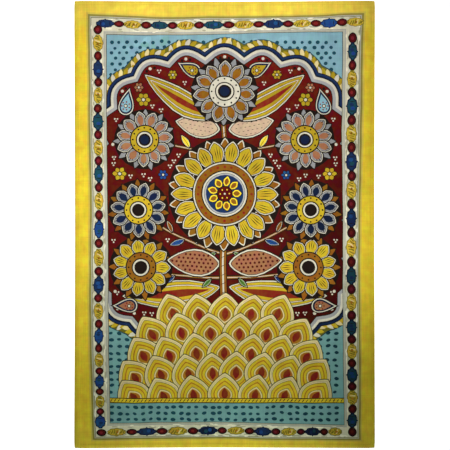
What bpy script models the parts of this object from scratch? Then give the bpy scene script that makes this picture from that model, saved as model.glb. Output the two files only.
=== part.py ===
"""A hand-painted cotton kalamkari panel, hemmed on its four sides and lying flat.

Metres, +Z up. The picture's top is towards +Y. The origin is under the middle of the
cloth, on the surface that it lies on.
"""

import math

import bmesh
import bpy

# Driving sizes of the cloth as finished
WIDTH = 0.610
LENGTH = 0.908
CLOTH_THICK = 0.0012

# The hem is turned twice and pressed, so its band is thicker than the single cloth
HEM_WIDTH = 0.009
HEM_EXTRA = 0.0007
HEM_SLOPE = 0.0016
EDGE_ROUND = 0.0005

# The cut edges draw in a little between the corners, and the corners are folded blunt
EDGE_DRAW_IN = 0.0012
CORNER_BLUNT = 0.0015

# The widest spacing of the grid lines that the sheet is built on
GRID_STEP = 0.030

# Where the edge stands off the surface: the place on the edge as shares of the half
# width and half length, the height of the lift, and how far it reaches into the cloth
LIFTS = (
    {"place": (1.00, 1.00), "height": 0.0030, "reach": 0.170},
    {"place": (-1.00, 1.00), "height": 0.0016, "reach": 0.120},
    {"place": (-1.00, -1.00), "height": 0.0024, "reach": 0.150},
    {"place": (1.00, -0.45), "height": 0.0014, "reach": 0.110},
    {"place": (-1.00, 0.20), "height": 0.0011, "reach": 0.100},
    {"place": (0.25, -1.00), "height": 0.0013, "reach": 0.110},
)

COTTON_COLOUR = (0.72, 0.52, 0.07, 1.0)
COTTON_ROUGHNESS = 0.9


def clear_scene():
    for old in list(bpy.data.objects):
        bpy.data.objects.remove(old)


def cotton():
    """Plain-woven cotton under a yellow dye, quite matt."""
    material = bpy.data.materials.new("dyed_cotton")
    material.use_nodes = True
    shader = material.node_tree.nodes["Principled BSDF"]
    shader.inputs["Base Color"].default_value = COTTON_COLOUR
    shader.inputs["Roughness"].default_value = COTTON_ROUGHNESS
    shader.inputs["Metallic"].default_value = 0.0
    return material


def grid_lines(size):
    """Places across the cloth: close together over each hem, and even between them."""
    half = size / 2
    hem = [-half, -half + EDGE_ROUND, -half + HEM_WIDTH - HEM_SLOPE, -half + HEM_WIDTH]
    first = hem[-1]
    steps = math.ceil(-2 * first / GRID_STEP)
    middle = [first * (1 - 2 * k / steps) for k in range(1, steps)]
    return hem + middle + [-place for place in reversed(hem)]


def lift(x, y):
    """How far the cloth stands off the surface at a point."""
    total = 0.0
    for row in LIFTS:
        across, along = row["place"]
        away = math.hypot(x - across * WIDTH / 2, y - along * LENGTH / 2)
        if away < row["reach"]:
            total += row["height"] * (1 - (away / row["reach"]) ** 2) ** 2
    return total


def thickness(x, y):
    """The single cloth, or the folded hem within its width of the edge."""
    inside = min(WIDTH / 2 - abs(x), LENGTH / 2 - abs(y))
    share = min(1.0, max(0.0, (HEM_WIDTH - inside) / HEM_SLOPE))
    rounding = EDGE_ROUND if inside < EDGE_ROUND / 2 else 0.0
    return CLOTH_THICK + HEM_EXTRA * share - rounding


def drawn_in(x, y):
    """A grid point moved in where the cloth's edges bow and its corners are blunt."""
    u = 2 * x / WIDTH
    v = 2 * y / LENGTH
    new_x = x - EDGE_DRAW_IN * u ** 3 * math.cos(v * math.pi / 2) ** 2
    new_y = y - EDGE_DRAW_IN * v ** 3 * math.cos(u * math.pi / 2) ** 2
    if abs(u) == 1 and abs(v) == 1:
        new_x -= math.copysign(CORNER_BLUNT / 2, x)
        new_y -= math.copysign(CORNER_BLUNT / 2, y)
    return new_x, new_y


def layer(bm, columns, rows, over):
    """One side of the cloth as rows of points: the upper one over its thickness."""
    made = []
    for y in rows:
        made.append([])
        for x in columns:
            new_x, new_y = drawn_in(x, y)
            z = lift(x, y) + (thickness(x, y) if over else 0.0)
            made[-1].append(bm.verts.new((new_x, new_y, z)))
    return made


def join_rows(bm, first, second, flipped=False):
    """Faces between two equal rows of points."""
    for k in range(len(first) - 1):
        corners = [first[k], first[k + 1], second[k + 1], second[k]]
        bm.faces.new(corners[::-1] if flipped else corners)


def build_panel():
    """The whole cloth, hems and all, as one closed sheet."""
    bm = bmesh.new()
    columns = grid_lines(WIDTH)
    rows = grid_lines(LENGTH)
    face = layer(bm, columns, rows, over=True)
    back = layer(bm, columns, rows, over=False)
    for k in range(len(rows) - 1):
        join_rows(bm, face[k], face[k + 1])
        join_rows(bm, back[k], back[k + 1], flipped=True)
    join_rows(bm, back[0], face[0])
    join_rows(bm, back[-1], face[-1], flipped=True)
    left = [row[0] for row in back], [row[0] for row in face]
    right = [row[-1] for row in back], [row[-1] for row in face]
    join_rows(bm, left[0], left[1], flipped=True)
    join_rows(bm, right[0], right[1])
    mesh = bpy.data.meshes.new("panel_cloth")
    bm.to_mesh(mesh)
    bm.free()
    mesh.materials.append(cotton())
    panel = bpy.data.objects.new("panel_cloth", mesh)
    bpy.context.scene.collection.objects.link(panel)
    mesh.shade_smooth()
    mesh.set_sharp_from_angle(angle=math.radians(35))
    return panel


clear_scene()
build_panel()
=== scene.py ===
"""Looks of a hand-painted kalamkari panel: pen-drawn and dyed cotton, hemmed, lying flat.

Metres, +Z up, in the frame's own axes, with the picture's top towards +Y. The drawing is
laid out in millimetres on the cloth. It is painted as overlapping areas, one over the
other, and then cut into one closed sheet of cloth whose faces each carry a dye.
"""

import cmath
import math
import random

import bpy
from mathutils import Matrix, Vector, noise
from mathutils.geometry import delaunay_2d_cdt


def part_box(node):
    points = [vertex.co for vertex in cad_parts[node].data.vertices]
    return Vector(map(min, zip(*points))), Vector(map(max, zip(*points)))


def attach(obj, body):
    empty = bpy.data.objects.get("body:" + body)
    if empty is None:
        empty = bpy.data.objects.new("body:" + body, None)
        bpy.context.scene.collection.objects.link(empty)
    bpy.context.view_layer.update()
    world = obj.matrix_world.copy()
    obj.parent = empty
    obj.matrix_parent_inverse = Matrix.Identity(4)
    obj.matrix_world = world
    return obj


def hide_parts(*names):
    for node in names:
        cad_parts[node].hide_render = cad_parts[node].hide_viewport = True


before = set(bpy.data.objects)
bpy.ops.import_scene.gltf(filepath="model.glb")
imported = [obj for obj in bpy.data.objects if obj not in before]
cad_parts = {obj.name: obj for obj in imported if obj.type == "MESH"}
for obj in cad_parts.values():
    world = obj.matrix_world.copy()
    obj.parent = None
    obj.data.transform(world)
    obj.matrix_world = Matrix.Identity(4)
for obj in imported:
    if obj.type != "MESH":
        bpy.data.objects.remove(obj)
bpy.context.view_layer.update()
CAD_CLOTH = "panel_cloth"

# Sizes of the cloth and its hem, the same as the solid's, in millimetres
CLOTH_LOW, CLOTH_HIGH = (corner * 1000 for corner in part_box(CAD_CLOTH))
WIDTH = CLOTH_HIGH.x - CLOTH_LOW.x
LENGTH = CLOTH_HIGH.y - CLOTH_LOW.y
CLOTH_THICK = 1.2
HEM_WIDTH = 9.0
HEM_EXTRA = 0.7
HEM_SLOPE = 1.6
EDGE_DRAW_IN = 1.2
CORNER_BLUNT = 1.5
EDGE_ROUND = 0.4
LIFTS = (
    {"place": (1.00, 1.00), "height": 3.0, "reach": 170},
    {"place": (-1.00, 1.00), "height": 1.6, "reach": 120},
    {"place": (-1.00, -1.00), "height": 2.4, "reach": 150},
    {"place": (1.00, -0.45), "height": 1.4, "reach": 110},
    {"place": (-1.00, 0.20), "height": 1.1, "reach": 100},
    {"place": (0.25, -1.00), "height": 1.3, "reach": 110},
)
EDGE_STEP = 12.0
LOOSE_STEP = 18.0
CUT_NEARNESS = 1e-4

# The camera looks straight down from a height, with the photograph's scale on the cloth
PHOTO_PIXELS = 450
METRES_PER_PIXEL = 0.0020313
CAMERA_PLACE = (0.0007, -0.0010, 2.6)
SENSOR_WIDTH = 36.0

# Where the border's outer and inner edges run, at five places along each side: from low
# to high on the left and right, and from left to right at the foot and top
EDGES = {
    "left": ((-268.0, -275.0, -274.0, -276.5, -278.0), (-232.0, -235.5, -236.5, -239.0, -239.5)),
    "right": ((276.5, 275.5, 275.5, 279.0, 283.0), (242.5, 240.0, 239.5, 237.5, 239.0)),
    "foot": ((-437.5, -436.0, -434.5, -438.0, -437.5), (-403.0, -401.0, -401.0, -404.0, -406.5)),
    "top": ((427.5, 422.0, 422.5, 424.0, 429.5), (385.0, 384.0, 386.0, 389.5, 390.5)),
}
BORDER_WIDTH = 36.5

# The hand's slow drift and its quick tremble, each as an amount over a distance
DRIFT, DRIFT_REACH = 1.3, 50.0
TREMBLE, TREMBLE_REACH = 0.40, 8.0

# Vegetable dyes as they look on the cloth under full light
DYES = {
    "cotton": "EAE0C6",
    "yellow": "E9CA36",
    "washed yellow": "D6BC50",
    "leaf yellow": "D4B42C",
    "bead yellow": "CDAB38",
    "gold": "A86C20",
    "ochre": "8F5A1C",
    "cream": "D9D2C2",
    "straw": "DCC993",
    "band cream": "D2CCB6",
    "bright cream": "E9E3D0",
    "dull cream": "A8A38C",
    "blush cream": "C0A48C",
    "greyed": "9F9EA2",
    "dim grey": "86868A",
    "pale grey": "B2B0A2",
    "maroon": "560E0A",
    "bead red": "4E1014",
    "blush red": "7C2024",
    "rust": "7E2818",
    "salmon": "9F6A4B",
    "sky": "7EA6B6",
    "pale sky": "86B0C0",
    "lilac sky": "80A6BC",
    "green sky": "7AA9AC",
    "low sky": "76A2A6",
    "teal": "1C4454",
    "blue": "204684",
    "indigo": "1B2F58",
    "deep indigo": "131F3C",
    "green": "4F7A33",
    "olive": "6B651F",
    "soft olive": "857B38",
    "pale olive": "9B914B",
    "pen": "1C1310",
    "olive pen": "34301A",
}
PEN_DYES = ("pen", "olive pen")
# How strongly some dyes lie, at five even steps from the field's top to its foot
FIELD_STRENGTHS = {
    "maroon": (1.42, 1.02, 0.92, 0.84, 0.80),
    "leaf yellow": (0.58, 0.62, 0.78, 0.84, 1.06),
    "gold": (0.66, 0.58, 0.56, 0.80, 1.20),
    "ochre": (0.90, 0.80, 0.85, 1.00, 1.25),
    "cream": (0.84, 0.84, 0.84, 0.95, 1.30),
    "salmon": (0.90, 0.90, 0.88, 0.96, 1.00),
    "bead yellow": (0.95, 0.92, 0.92, 0.86, 0.78),
}
FIELD_REACH = 380.0
# Painted shade: how much darker the madder and indigo colours are made at the right, from a level
# downwards, where the light falls off
PAINTED_SHADE_LOW_RIGHT = {"maroon": 0.42, "bead red": 0.40, "blush red": 0.50, "blue": 0.40, "teal": 0.35,
                    "indigo": 0.35, "deep indigo": 0.30}
SHADE_BELOW, SHADE_REACH = 160.0, 200.0
# How far the wash of yellow was thinned along the cloth's top and foot
THINNED_TOP, THINNED_FOOT = 0.06, 0.02
THINNED_FROM, THINNED_REACH = 390.0, 30.0
DYE_LOT = 0.05
PEN = 2.3
# The back: how much of a dye soaks through, and the widest reach of an area that doesn't
SHOWS_THROUGH = 0.38
SOAKED_REACH = 13.0
SURFACE_DYES = PEN_DYES + ("olive", "rust", "greyed")

# Shares of the texture square: the face at the left, then the folded rim, then the back
UV_FOOT, UV_TALL = 0.004, 0.992
FACE_UV_LEFT, FACE_UV_WIDE = 0.004, 0.79
RIM_UV_LEFT, RIM_UV_WIDE = 0.797, 0.006
BACK_UV_RIGHT, BACK_UV_WIDE = 0.99, 0.17

# What is painted, in order, and the seeds that make each run draw the same
areas = []
hand = random.Random(11)
noise.seed_set(11)


def linear(hex_colour):
    """An sRGB hex colour as linear red, green and blue."""
    channels = [int(hex_colour[k:k + 2], 16) / 255 for k in (0, 2, 4)]
    return [c / 12.92 if c <= 0.04045 else ((c + 0.055) / 1.055) ** 2.4 for c in channels]


LINEAR_DYES = {name: linear(colour) for name, colour in DYES.items()}


# Drawing tools: a point is a complex number, x + yj, in millimetres on the cloth

def paint(outline, dye):
    """Lays a dye over all that is inside an outline, each lot a little stronger or weaker."""
    lot = 0 if dye in PEN_DYES else hand.uniform(-DYE_LOT, DYE_LOT)
    areas.append((outline, dye, 1 + lot))


def ellipse(at, along, across, turn=0.0, count=0):
    """A closed round outline, with as many points as its size needs."""
    count = count or max(7, round(4.5 * math.sqrt(max(along, across))))
    way = cmath.rect(1, turn)
    steps = [2 * math.pi * k / count for k in range(count)]
    return [at + way * complex(along * math.cos(a), across * math.sin(a)) for a in steps]


def disc(at, radius, dye):
    """A round spot of one dye."""
    paint(ellipse(at, radius, radius), dye)


def rings(at, bands):
    """Discs one on the other, the widest first."""
    for radius, dye in bands:
        disc(at, radius, dye)


def petal(at, turn, length, width, depth=0.0, fullness=1.0, bend=0.0, steps=6):
    """A petal or leaf from its base to its tip, drawn in by a depth on all sides.

    A fullness above 1 puts its widest place nearer the tip. A bend curves its axis.
    """
    first, last = 1.2 * depth, length - 1.3 * depth
    half = width / 2 - depth
    shares = [(1 - math.cos(math.pi * k / steps)) / 2 for k in range(steps + 1)]
    sides = ([], [])
    for share in shares:
        along = first + share * (last - first)
        axis = complex(along, bend * (along / length) ** 2)
        wide = half * math.sin(math.pi * share ** fullness) ** 0.8
        sides[0].append(axis - 1j * wide)
        sides[1].append(axis + 1j * wide)
    outline = sides[0] + sides[1][-2:0:-1]
    way = cmath.rect(1, turn)
    return [at + way * point for point in outline]


def layered(at, turn, length, width, layers, **form):
    """A petal in layers, each a depth inside its edge and a dye."""
    for depth, dye in layers:
        if width / 2 - depth > 0.6 and length - 2.5 * depth > 1.5:
            paint(petal(at, turn, length, width, depth, **form), dye)


def inset(outline, depth):
    """A closed outline moved inwards, or outwards where the depth is negative."""
    moved = []
    for k, point in enumerate(outline):
        before = point - outline[k - 1]
        after = outline[(k + 1) % len(outline)] - point
        inward = 1j * before / abs(before) + 1j * after / abs(after)
        inward /= abs(inward)
        lean = (inward * (1j * before / abs(before)).conjugate()).real
        moved.append(point + inward * depth / max(lean, 0.45))
    return moved


def curl(start, heading, length, first_turn, last_turn, steps=14):
    """A path that bends at one rate at its start and at another at its end.

    The rates are in radians for each 100 mm. Its last heading comes with it.
    """
    path = [start]
    for k in range(steps):
        rate = first_turn + (last_turn - first_turn) * (k + 0.5) / steps
        heading += rate * length / steps / 100
        path.append(path[-1] + cmath.rect(length / steps, heading))
    return path, heading


def stroke(path, width, dye, first, last):
    """A brush or pen line along a path, its ends at shares of its width."""
    left, right = [], []
    for k, point in enumerate(path):
        ahead = path[min(k + 1, len(path) - 1)] - path[max(k - 1, 0)]
        side = 1j * ahead / abs(ahead) * width / 2
        share = k / (len(path) - 1)
        side *= first + (last - first) * share
        left.append(point + side)
        right.append(point - side)
    paint(right + left[::-1], dye)


def pen_mark(start, end, width):
    """A short pen line, full in the middle and fine at its ends."""
    middle = (start + end) / 2
    side = 1j * (end - start) / abs(end - start) * width / 2
    paint([start, middle - side, end, middle + side], "pen")


def is_inside(point, outline):
    """Whether a point is inside a closed outline."""
    crossings = 0
    for k, here in enumerate(outline):
        back = outline[k - 1]
        if (back.imag > point.imag) != (here.imag > point.imag):
            cross = back.real + (point.imag - back.imag) * (here - back).real / (here - back).imag
            crossings += cross > point.real
    return crossings % 2 == 1


def squared(angle, power):
    """A point of a unit outline: a lozenge at power 1, a circle at 2, and squarer above."""
    x = math.copysign(abs(math.cos(angle)) ** (2 / power), math.cos(angle))
    y = math.copysign(abs(math.sin(angle)) ** (2 / power), math.sin(angle))
    return x, y


def kept_within(outline, half):
    """An outline with what passes a line to the left or right kept on it."""
    return [complex(max(-half, min(half, p.real)), p.imag) for p in outline]


def mirrored(draw, *values):
    """Draws something on the right, and then its mirror image on the left."""
    first = len(areas)
    draw(*values)
    for outline, dye, _ in areas[first:]:
        paint([-point.conjugate() for point in outline], dye)


# Motifs of the field

def wreath(at, inner, outer, count, width, layers, turn=0.0, **form):
    """A ring of petals round a centre."""
    for k in range(count):
        angle = turn + 2 * math.pi * k / count + hand.uniform(-0.03, 0.03)
        length = (outer - inner) * hand.uniform(0.95, 1.03)
        wide = width * hand.uniform(0.95, 1.03)
        layered(at + cmath.rect(inner, angle), angle, length, wide, layers, **form)


def dot_ring(at, radius, count, size, dye):
    """Even dots on a circle."""
    for k in range(count):
        disc(at + cmath.rect(radius, 2 * math.pi * k / count), size, dye)


def petal_marks(at, size, count, turn, lean, first, width):
    """Three pen marks on each petal of a ring, from a share of its size to near the tip."""
    for k in range(count):
        for side in (-lean, 0, lean):
            way = cmath.rect(size, turn + 2 * math.pi * k / count + side)
            pen_mark(at + first * way, at + (0.92 - abs(side)) * way, width)


def great_blossom(at, size):
    """The middle blossom: yellow petals with pen marks round a dotted ring and an indigo eye."""
    count = 18
    turn = math.pi / count
    disc(at, 1.03 * size, "pen")
    sepals = [(0, "pen"), (PEN, "cream"), (4.4, "gold")]
    wreath(at, 0.62 * size, 1.06 * size, count, 0.24 * size, sepals, turn=turn, steps=5)
    stripes = [(0, "pen"), (PEN, "cream"), (4.0, "pen"), (5.0, "leaf yellow")]
    wreath(at, 0.46 * size, size, count, 0.315 * size, stripes, fullness=1.25, steps=8)
    petal_marks(at, size, count, turn=0.0, lean=0.055, first=0.62, width=1.7)
    rings(at, [(0.60 * size, "pen"), (0.60 * size - PEN, "cream"), (0.555 * size, "pen"),
               (0.555 * size - 1.2, "gold")])
    dot_ring(at, 0.49 * size, 24, 2.8, "rust")
    rings(at, [(0.43 * size, "pen"), (0.43 * size - PEN, "cream"), (0.38 * size, "pen"),
               (0.38 * size - 0.8, "greyed"), (0.345 * size, "indigo")])
    wreath(at, 0.12 * size, 0.33 * size, 9, 0.155 * size, [(0, "pen"), (1.1, "yellow"), (3.6, "ochre")],
           steps=5)
    rings(at, [(0.15 * size, "pen"), (0.15 * size - PEN, "maroon")])
    dot_ring(at, 0.085 * size, 6, 1.5, "yellow")
    disc(at, 2.2, "cream")


# Each kind's dyes: its back petals, its petals' edge, body and heart, its ring and its eye
BLOSSOM_DYES = {
    "yellow": ("gold", "cream", "leaf yellow", "leaf yellow", "gold", "pen"),
    "brown": ("dim grey", "cream", "dim grey", "gold", "cream", "deep indigo"),
    "blue": ("gold", "cream", "dim grey", "deep indigo", "leaf yellow", "pen"),
    "rose": ("dim grey", "cream", "dim grey", "salmon", "leaf yellow", "deep indigo"),
}


def blossom(at, size, kind, turn=0.0):
    """A blossom of a branch or of the top, in one of a few ways of dyeing it."""
    back, edge, body, heart, ring_dye, eye = BLOSSOM_DYES[kind]
    count = 11
    disc(at, 1.02 * size, "pen")
    wreath(at, 0.5 * size, 1.1 * size, count, 0.27 * size, [(0, "pen"), (PEN, back)],
           turn=turn + math.pi / count, steps=5)
    stripes = [(0, "pen"), (PEN, edge), (3.6, "pen"), (4.4, body), (7.4, heart)]
    wreath(at, 0.30 * size, size, count, 0.48 * size, stripes, turn=turn, fullness=1.25)
    first = 0.54 if heart == body else 0.76
    petal_marks(at, size, count, turn, lean=0.09, first=first, width=1.6)
    rings(at, [(0.50 * size, "pen"), (0.50 * size - PEN, ring_dye)])
    dot_ring(at, 0.40 * size, 12, 1.9, "pen")
    rings(at, [(0.30 * size, "pen"), (0.30 * size - PEN, "cream"), (0.21 * size, "pen"),
               (0.15 * size, eye)])


def leaf(at, turn, length, width, dye, bend=0.0):
    """A pale-edged leaf with its midrib."""
    form = {"bend": bend, "fullness": 0.9, "steps": 6}
    layered(at, turn, length, width, [(0, "pen"), (PEN, "cream"), (3.0, dye)], **form)
    way = cmath.rect(1, turn)
    rib = [at + way * complex(s * length, bend * s * s) for s in (0.08, 0.35, 0.6, 0.84)]
    stroke(rib, 1.2, "pen", 1.0, 0.3)


LEAF_DOT_PITCH = 9.2


def dotted_leaf(at, turn, length, width, bend, dye="salmon"):
    """A broad leaf filled with dark red dots, or with pen strokes where it is pale."""
    form = {"bend": bend, "fullness": 0.85, "steps": 10}
    layered(at, turn, length, width, [(0, "pen"), (PEN, "cream"), (5.0, "pen"), (6.2, dye)], **form)
    way = cmath.rect(1, turn)
    inner = petal(at, turn, length, width, 8.0, **form)
    for row in range(int(length / LEAF_DOT_PITCH) + 1):
        for column in range(-5, 6):
            spot = complex((row + 0.5 * (column % 2)) * LEAF_DOT_PITCH, column * LEAF_DOT_PITCH * 0.86)
            spot += 1j * bend * (spot.real / length) ** 2
            if not is_inside(at + way * spot, inner):
                continue
            if dye == "salmon":
                disc(at + way * spot, 2.5, "bead red")
            else:
                pen_mark(at + way * (spot - 2.6), at + way * (spot + 2.6), 1.4)


def striped_leaf(at, turn, length, width, bend):
    """A long leaf striped in cream, yellow and ochre, with a rust-red vein."""
    stripes = [(0, "pen"), (PEN, "cream"), (4.8, "pen"), (5.9, "leaf yellow"), (11.2, "pen"),
               (12.2, "cream"), (14.4, "ochre"), (15.6, "leaf yellow"), (22.0, "rust")]
    layered(at, turn, length, width, stripes, bend=bend, fullness=0.95, steps=11)


def paisley(at, turn, size, dye):
    """A drop with its tip curled to one side, in rings, with a dotted heart."""
    count = 22
    way = cmath.rect(size / 2, turn)
    outline = []
    for k in range(count):
        angle = 2 * math.pi * k / count
        tip = max(0.0, math.cos(angle / 2 if angle < math.pi else math.pi - angle / 2)) ** 6
        round_part = complex(-0.30 + 0.66 * math.cos(angle), 0.62 * math.sin(angle))
        outline.append(at + way * (round_part * (1 - tip) + complex(0.98, 0.42) * tip))
    heart = at - 0.30 * way
    for depth, layer_dye in ((0, "pen"), (PEN, "cream"), (4.4, "deep indigo"), (8.0, dye)):
        shrunk = 1 - depth / (0.33 * size)
        paint([heart + (point - heart) * shrunk for point in outline], layer_dye)
    dot_ring(heart, 0.13 * size, 7, 1.7, "rust")
    rings(heart, [(0.07 * size, "pen"), (0.045 * size, "cream")])


def vine(path, width, last):
    """A stem with its pen outline and a pale line along it, tapered to a share of its width."""
    stroke(path, width + 2 * PEN, "pen", 1.0, last)
    stroke(path, width, "ochre", 1.0, last)
    stroke(path, 0.26 * width, "cream", 1.0, last)


BRANCH_WIDTH = 5.5
LEAF_LENGTH = 32.0
LEAF_DYES = ("green", "yellow", "blue", "gold", "yellow", "salmon")


def branch(start, heading, length, first_turn, last_turn, leaves):
    """A curling stem with leaves to both sides. Returns its end and last heading."""
    path, last_heading = curl(start, heading, length, first_turn, last_turn)
    vine(path, BRANCH_WIDTH, 0.6)
    for k in range(leaves):
        share = (k + 0.8) / (leaves + 0.5)
        here = int(share * (len(path) - 2))
        along = cmath.phase(path[here + 1] - path[here])
        side = 1 if k % 2 else -1
        long = LEAF_LENGTH * hand.uniform(0.88, 1.1)
        dye = LEAF_DYES[k % len(LEAF_DYES)]
        leaf(path[here], along + side * hand.uniform(0.75, 0.95), long, 0.45 * long, dye,
             bend=side * -0.12 * long)
    return path[-1], last_heading


# The painted margin, field and border

def eased(values, share):
    """A smooth value between evenly spaced ones, at a share of the way along them."""
    place = share * (len(values) - 1)
    k = min(int(place), len(values) - 2)
    here, ahead = values[k], values[k + 1]
    before = values[k - 1] if k else 2 * here - ahead
    beyond = values[k + 2] if k + 2 < len(values) else 2 * ahead - here
    t = place - k
    first, last = (ahead - before) / 2, (beyond - here) / 2
    return here + t * (first + t * (3 * (ahead - here) - 2 * first - last
                                    + t * (first + last - 2 * (ahead - here))))


def edge_value(side, depth, share):
    """How far out a side's line runs, at a depth into the border."""
    outer, inner = EDGES[side]
    return eased(outer, share) + (eased(inner, share) - eased(outer, share)) * depth / BORDER_WIDTH


def on_border(side, depth, share):
    """A point of the border at a share of the way along one of its sides."""
    across = edge_value(side, depth, share)
    end = 0 if side in ("left", "foot") else 1
    ends = ("foot", "top") if side in ("left", "right") else ("left", "right")
    low, high = (edge_value(name, depth, end) for name in ends)
    along = low + (high - low) * share
    return complex(across, along) if side in ("left", "right") else complex(along, across)


def side_line(side, depth, backwards=False):
    """One side's line at a depth into the border, in steps of about 25 mm."""
    count = 36 if side in ("left", "right") else 23
    points = [on_border(side, depth, k / count) for k in range(count + 1)]
    return points[::-1] if backwards else points


def frame_line(depth):
    """The closed line at a depth into the border, from low left round to high left."""
    return (side_line("foot", depth)[:-1] + side_line("right", depth)[:-1]
            + side_line("top", depth, True)[:-1] + side_line("left", depth, True)[:-1])


def stepped(start, end, step):
    """The points of a straight line at even steps, without its end."""
    count = max(1, round(abs(end - start) / step))
    return [start + (end - start) * k / count for k in range(count)]


def band(outer, inner, dye):
    """A mitred strip on each of the four sides, between two depths."""
    for side in EDGES:
        paint(side_line(side, outer) + side_line(side, inner, True), dye)


def rounded(at, along, across, turn, power, count=16):
    """A closed outline between a lozenge, at power 1, and an ellipse, at power 2."""
    way = cmath.rect(1, turn)
    outline = []
    for k in range(count):
        x, y = squared(2 * math.pi * k / count, power)
        outline.append(at + way * complex(along * x, across * y))
    return outline


def red_bead(at, turn, pitch, pen, girth, reach):
    """A madder bead, round but for its pointed ends, with a lighter blush."""
    long = 0.37 * pitch * reach * hand.uniform(0.95, 1.05)
    wide = 7.7 * girth * hand.uniform(0.94, 1.08)
    paint(rounded(at, long, wide, turn, 1.8), "pen")
    paint(rounded(at, long - 1.5 * pen, wide - 1.2 * pen, turn, 1.9), "bead red")
    blush = 0.62 - 0.15 * pen
    paint(ellipse(at - 0.6, blush * long, blush * wide, turn, 9), "blush red")


# The blue bead's half outline, as shares of its half length and half height
BLUE_PROFILE = ((-1.0, 0.34), (-0.82, 0.42), (-0.66, 0.80), (-0.34, 0.90), (-0.12, 0.92), (0.0, 1.16),
                (0.12, 0.92), (0.34, 0.90), (0.66, 0.80), (0.82, 0.42), (1.0, 0.34))


# The dyes of a blue bead's body, where the pen drew finely and where it drew broadly
FINE_BLUES = ("blue", "teal", "blue", "indigo")
BROAD_BLUES = ("teal", "teal", "indigo", "deep indigo")
BROAD_PEN = 1.6


def blue_bead(at, turn, pitch, pen, girth, reach):
    """An indigo barrel with collars at its ends and a pointed middle."""
    half = 0.65 * pitch * min(reach, 1.05)
    tall = 9.4 * girth * hand.uniform(0.94, 1.06)
    way = cmath.rect(1, turn)
    body = hand.choice(BROAD_BLUES if pen > BROAD_PEN else FINE_BLUES)
    for shrink, dye in ((0.0, "deep indigo"), (1.2 * pen, body)):
        upper = [complex(s * (half - 1.3 * shrink), max(h * tall - shrink, 0.5)) for s, h in BLUE_PROFILE]
        outline = [p.conjugate() for p in upper] + upper[::-1]
        paint([at + way * p for p in outline], dye)
    for side in (-1, 1):
        pen_mark(at + way * complex(side * 0.50 * half, -0.7 * tall),
                 at + way * complex(side * 0.50 * half, 0.7 * tall), 1.6)
        spot = at + way * complex(side * 0.20 * half, side * 1.2)
        paint(ellipse(spot, 0.20 * half, 0.42 * tall, turn, 9),
              hand.choice(("teal", "blue", "blue", "indigo")))


def yellow_bead(at, turn, pitch, pen, girth, reach):
    """A yellow rosette with loose olive strokes over it, a pale one among them and a gold dot."""
    half = 0.67 * pitch * min(reach, 1.05)
    tall = 9.4 * girth * hand.uniform(0.94, 1.06)
    way = cmath.rect(1, turn)
    lobes = 10
    for shrink, dye in ((0.0, "olive"), (0.8 * pen, "bead yellow")):
        outline = []
        for k in range(4 * lobes):
            angle = 2 * math.pi * k / (4 * lobes)
            swell = 1 - 0.10 * (1 + math.cos(lobes * angle)) / 2
            outline.append(complex((0.98 * half - shrink) * swell * math.cos(angle),
                                   (tall - shrink) * swell * math.sin(angle)))
        paint([at + way * p for p in outline], dye)
    for k in range(-3, 4):
        middle = complex(0.24 * half * k, hand.uniform(-0.16, 0.16) * tall)
        lean = complex(hand.uniform(0.02, 0.17) * half, 0.56 * tall * (1 - 0.13 * abs(k)))
        curve = hand.uniform(-0.09, 0.09) * half
        path = [at + way * (middle - lean), at + way * (middle + curve), at + way * (middle + lean)]
        stroke(path, hand.uniform(2.1, 3.1), "straw" if k == 1 else "olive", 0.9, 0.6)
    paint(ellipse(at + way * hand.uniform(-3, 3), 2.8, 2.4, turn, 8), hand.choice(("gold", "ochre")))


BEADS = {"red": red_bead, "blue": blue_bead, "yellow": yellow_bead}


def chain(side, places, depths, count, cycle, pen, girth, reach):
    """A row of touching beads, spaced as the hand spaced them.

    Places are where the row had got to along the side after each fifth of its beads, and
    depths where its line starts and ends in the border. The pen is the width of the beads'
    outlines, and girth and reach stretch them across and along the row.
    """
    ends = ("foot", "top") if side in ("left", "right") else ("left", "right")
    end = 0 if side in ("left", "foot") else 1
    low, high = (edge_value(name, BORDER_WIDTH / 2, end) for name in ends)
    for k in range(count):
        passed = k / (count - 1)
        share = (eased(places, passed) - low) / (high - low)
        depth = depths[0] + (depths[1] - depths[0]) * passed
        place = on_border(side, depth, share)
        way = on_border(side, depth, share + 0.01) - on_border(side, depth, share - 0.01)
        before, after = max(0.0, passed - 0.03), min(1.0, passed + 0.03)
        pitch = abs(eased(places, after) - eased(places, before)) / (after - before) / (count - 1)
        BEADS[cycle[k % len(cycle)]](place, cmath.phase(way), pitch, pen, girth, reach)


def smudges():
    """The white band's bright and dull patches, duller at the middle of the long sides."""
    for side, count in (("left", 143), ("right", 143), ("foot", 90), ("top", 90)):
        for _ in range(count):
            share = hand.uniform(0.01, 0.99)
            depth = hand.choice((hand.uniform(6.8, 11.5), hand.uniform(24.5, 31.0)))
            middle = 4 * share * (1 - share) if side in ("left", "right") else 0.4
            dye = "dull cream" if hand.random() < 0.3 + 0.5 * middle else "bright cream"
            turn = (math.pi / 2 if side in ("left", "right") else 0) + hand.uniform(-0.15, 0.15)
            place = on_border(side, depth, share)
            paint(ellipse(place, hand.uniform(3.5, 9), hand.uniform(1.0, 1.9), turn, 8), dye)


# The border's lines and its white band: each one's outer and inner depth, and its dye
BORDER_BANDS = (
    (-3.0, 0.0, "washed yellow"), (0.0, 1.5, "pale olive"), (1.5, 2.5, "soft olive"),
    (2.5, 4.0, "pale olive"), (4.0, 5.8, "pale grey"), (5.8, 6.8, "olive"), (6.8, 30.6, "band cream"),
    (30.6, 31.6, "greyed"), (31.6, 35.5, "pale grey"), (35.5, BORDER_WIDTH, "olive pen"),
)


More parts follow.
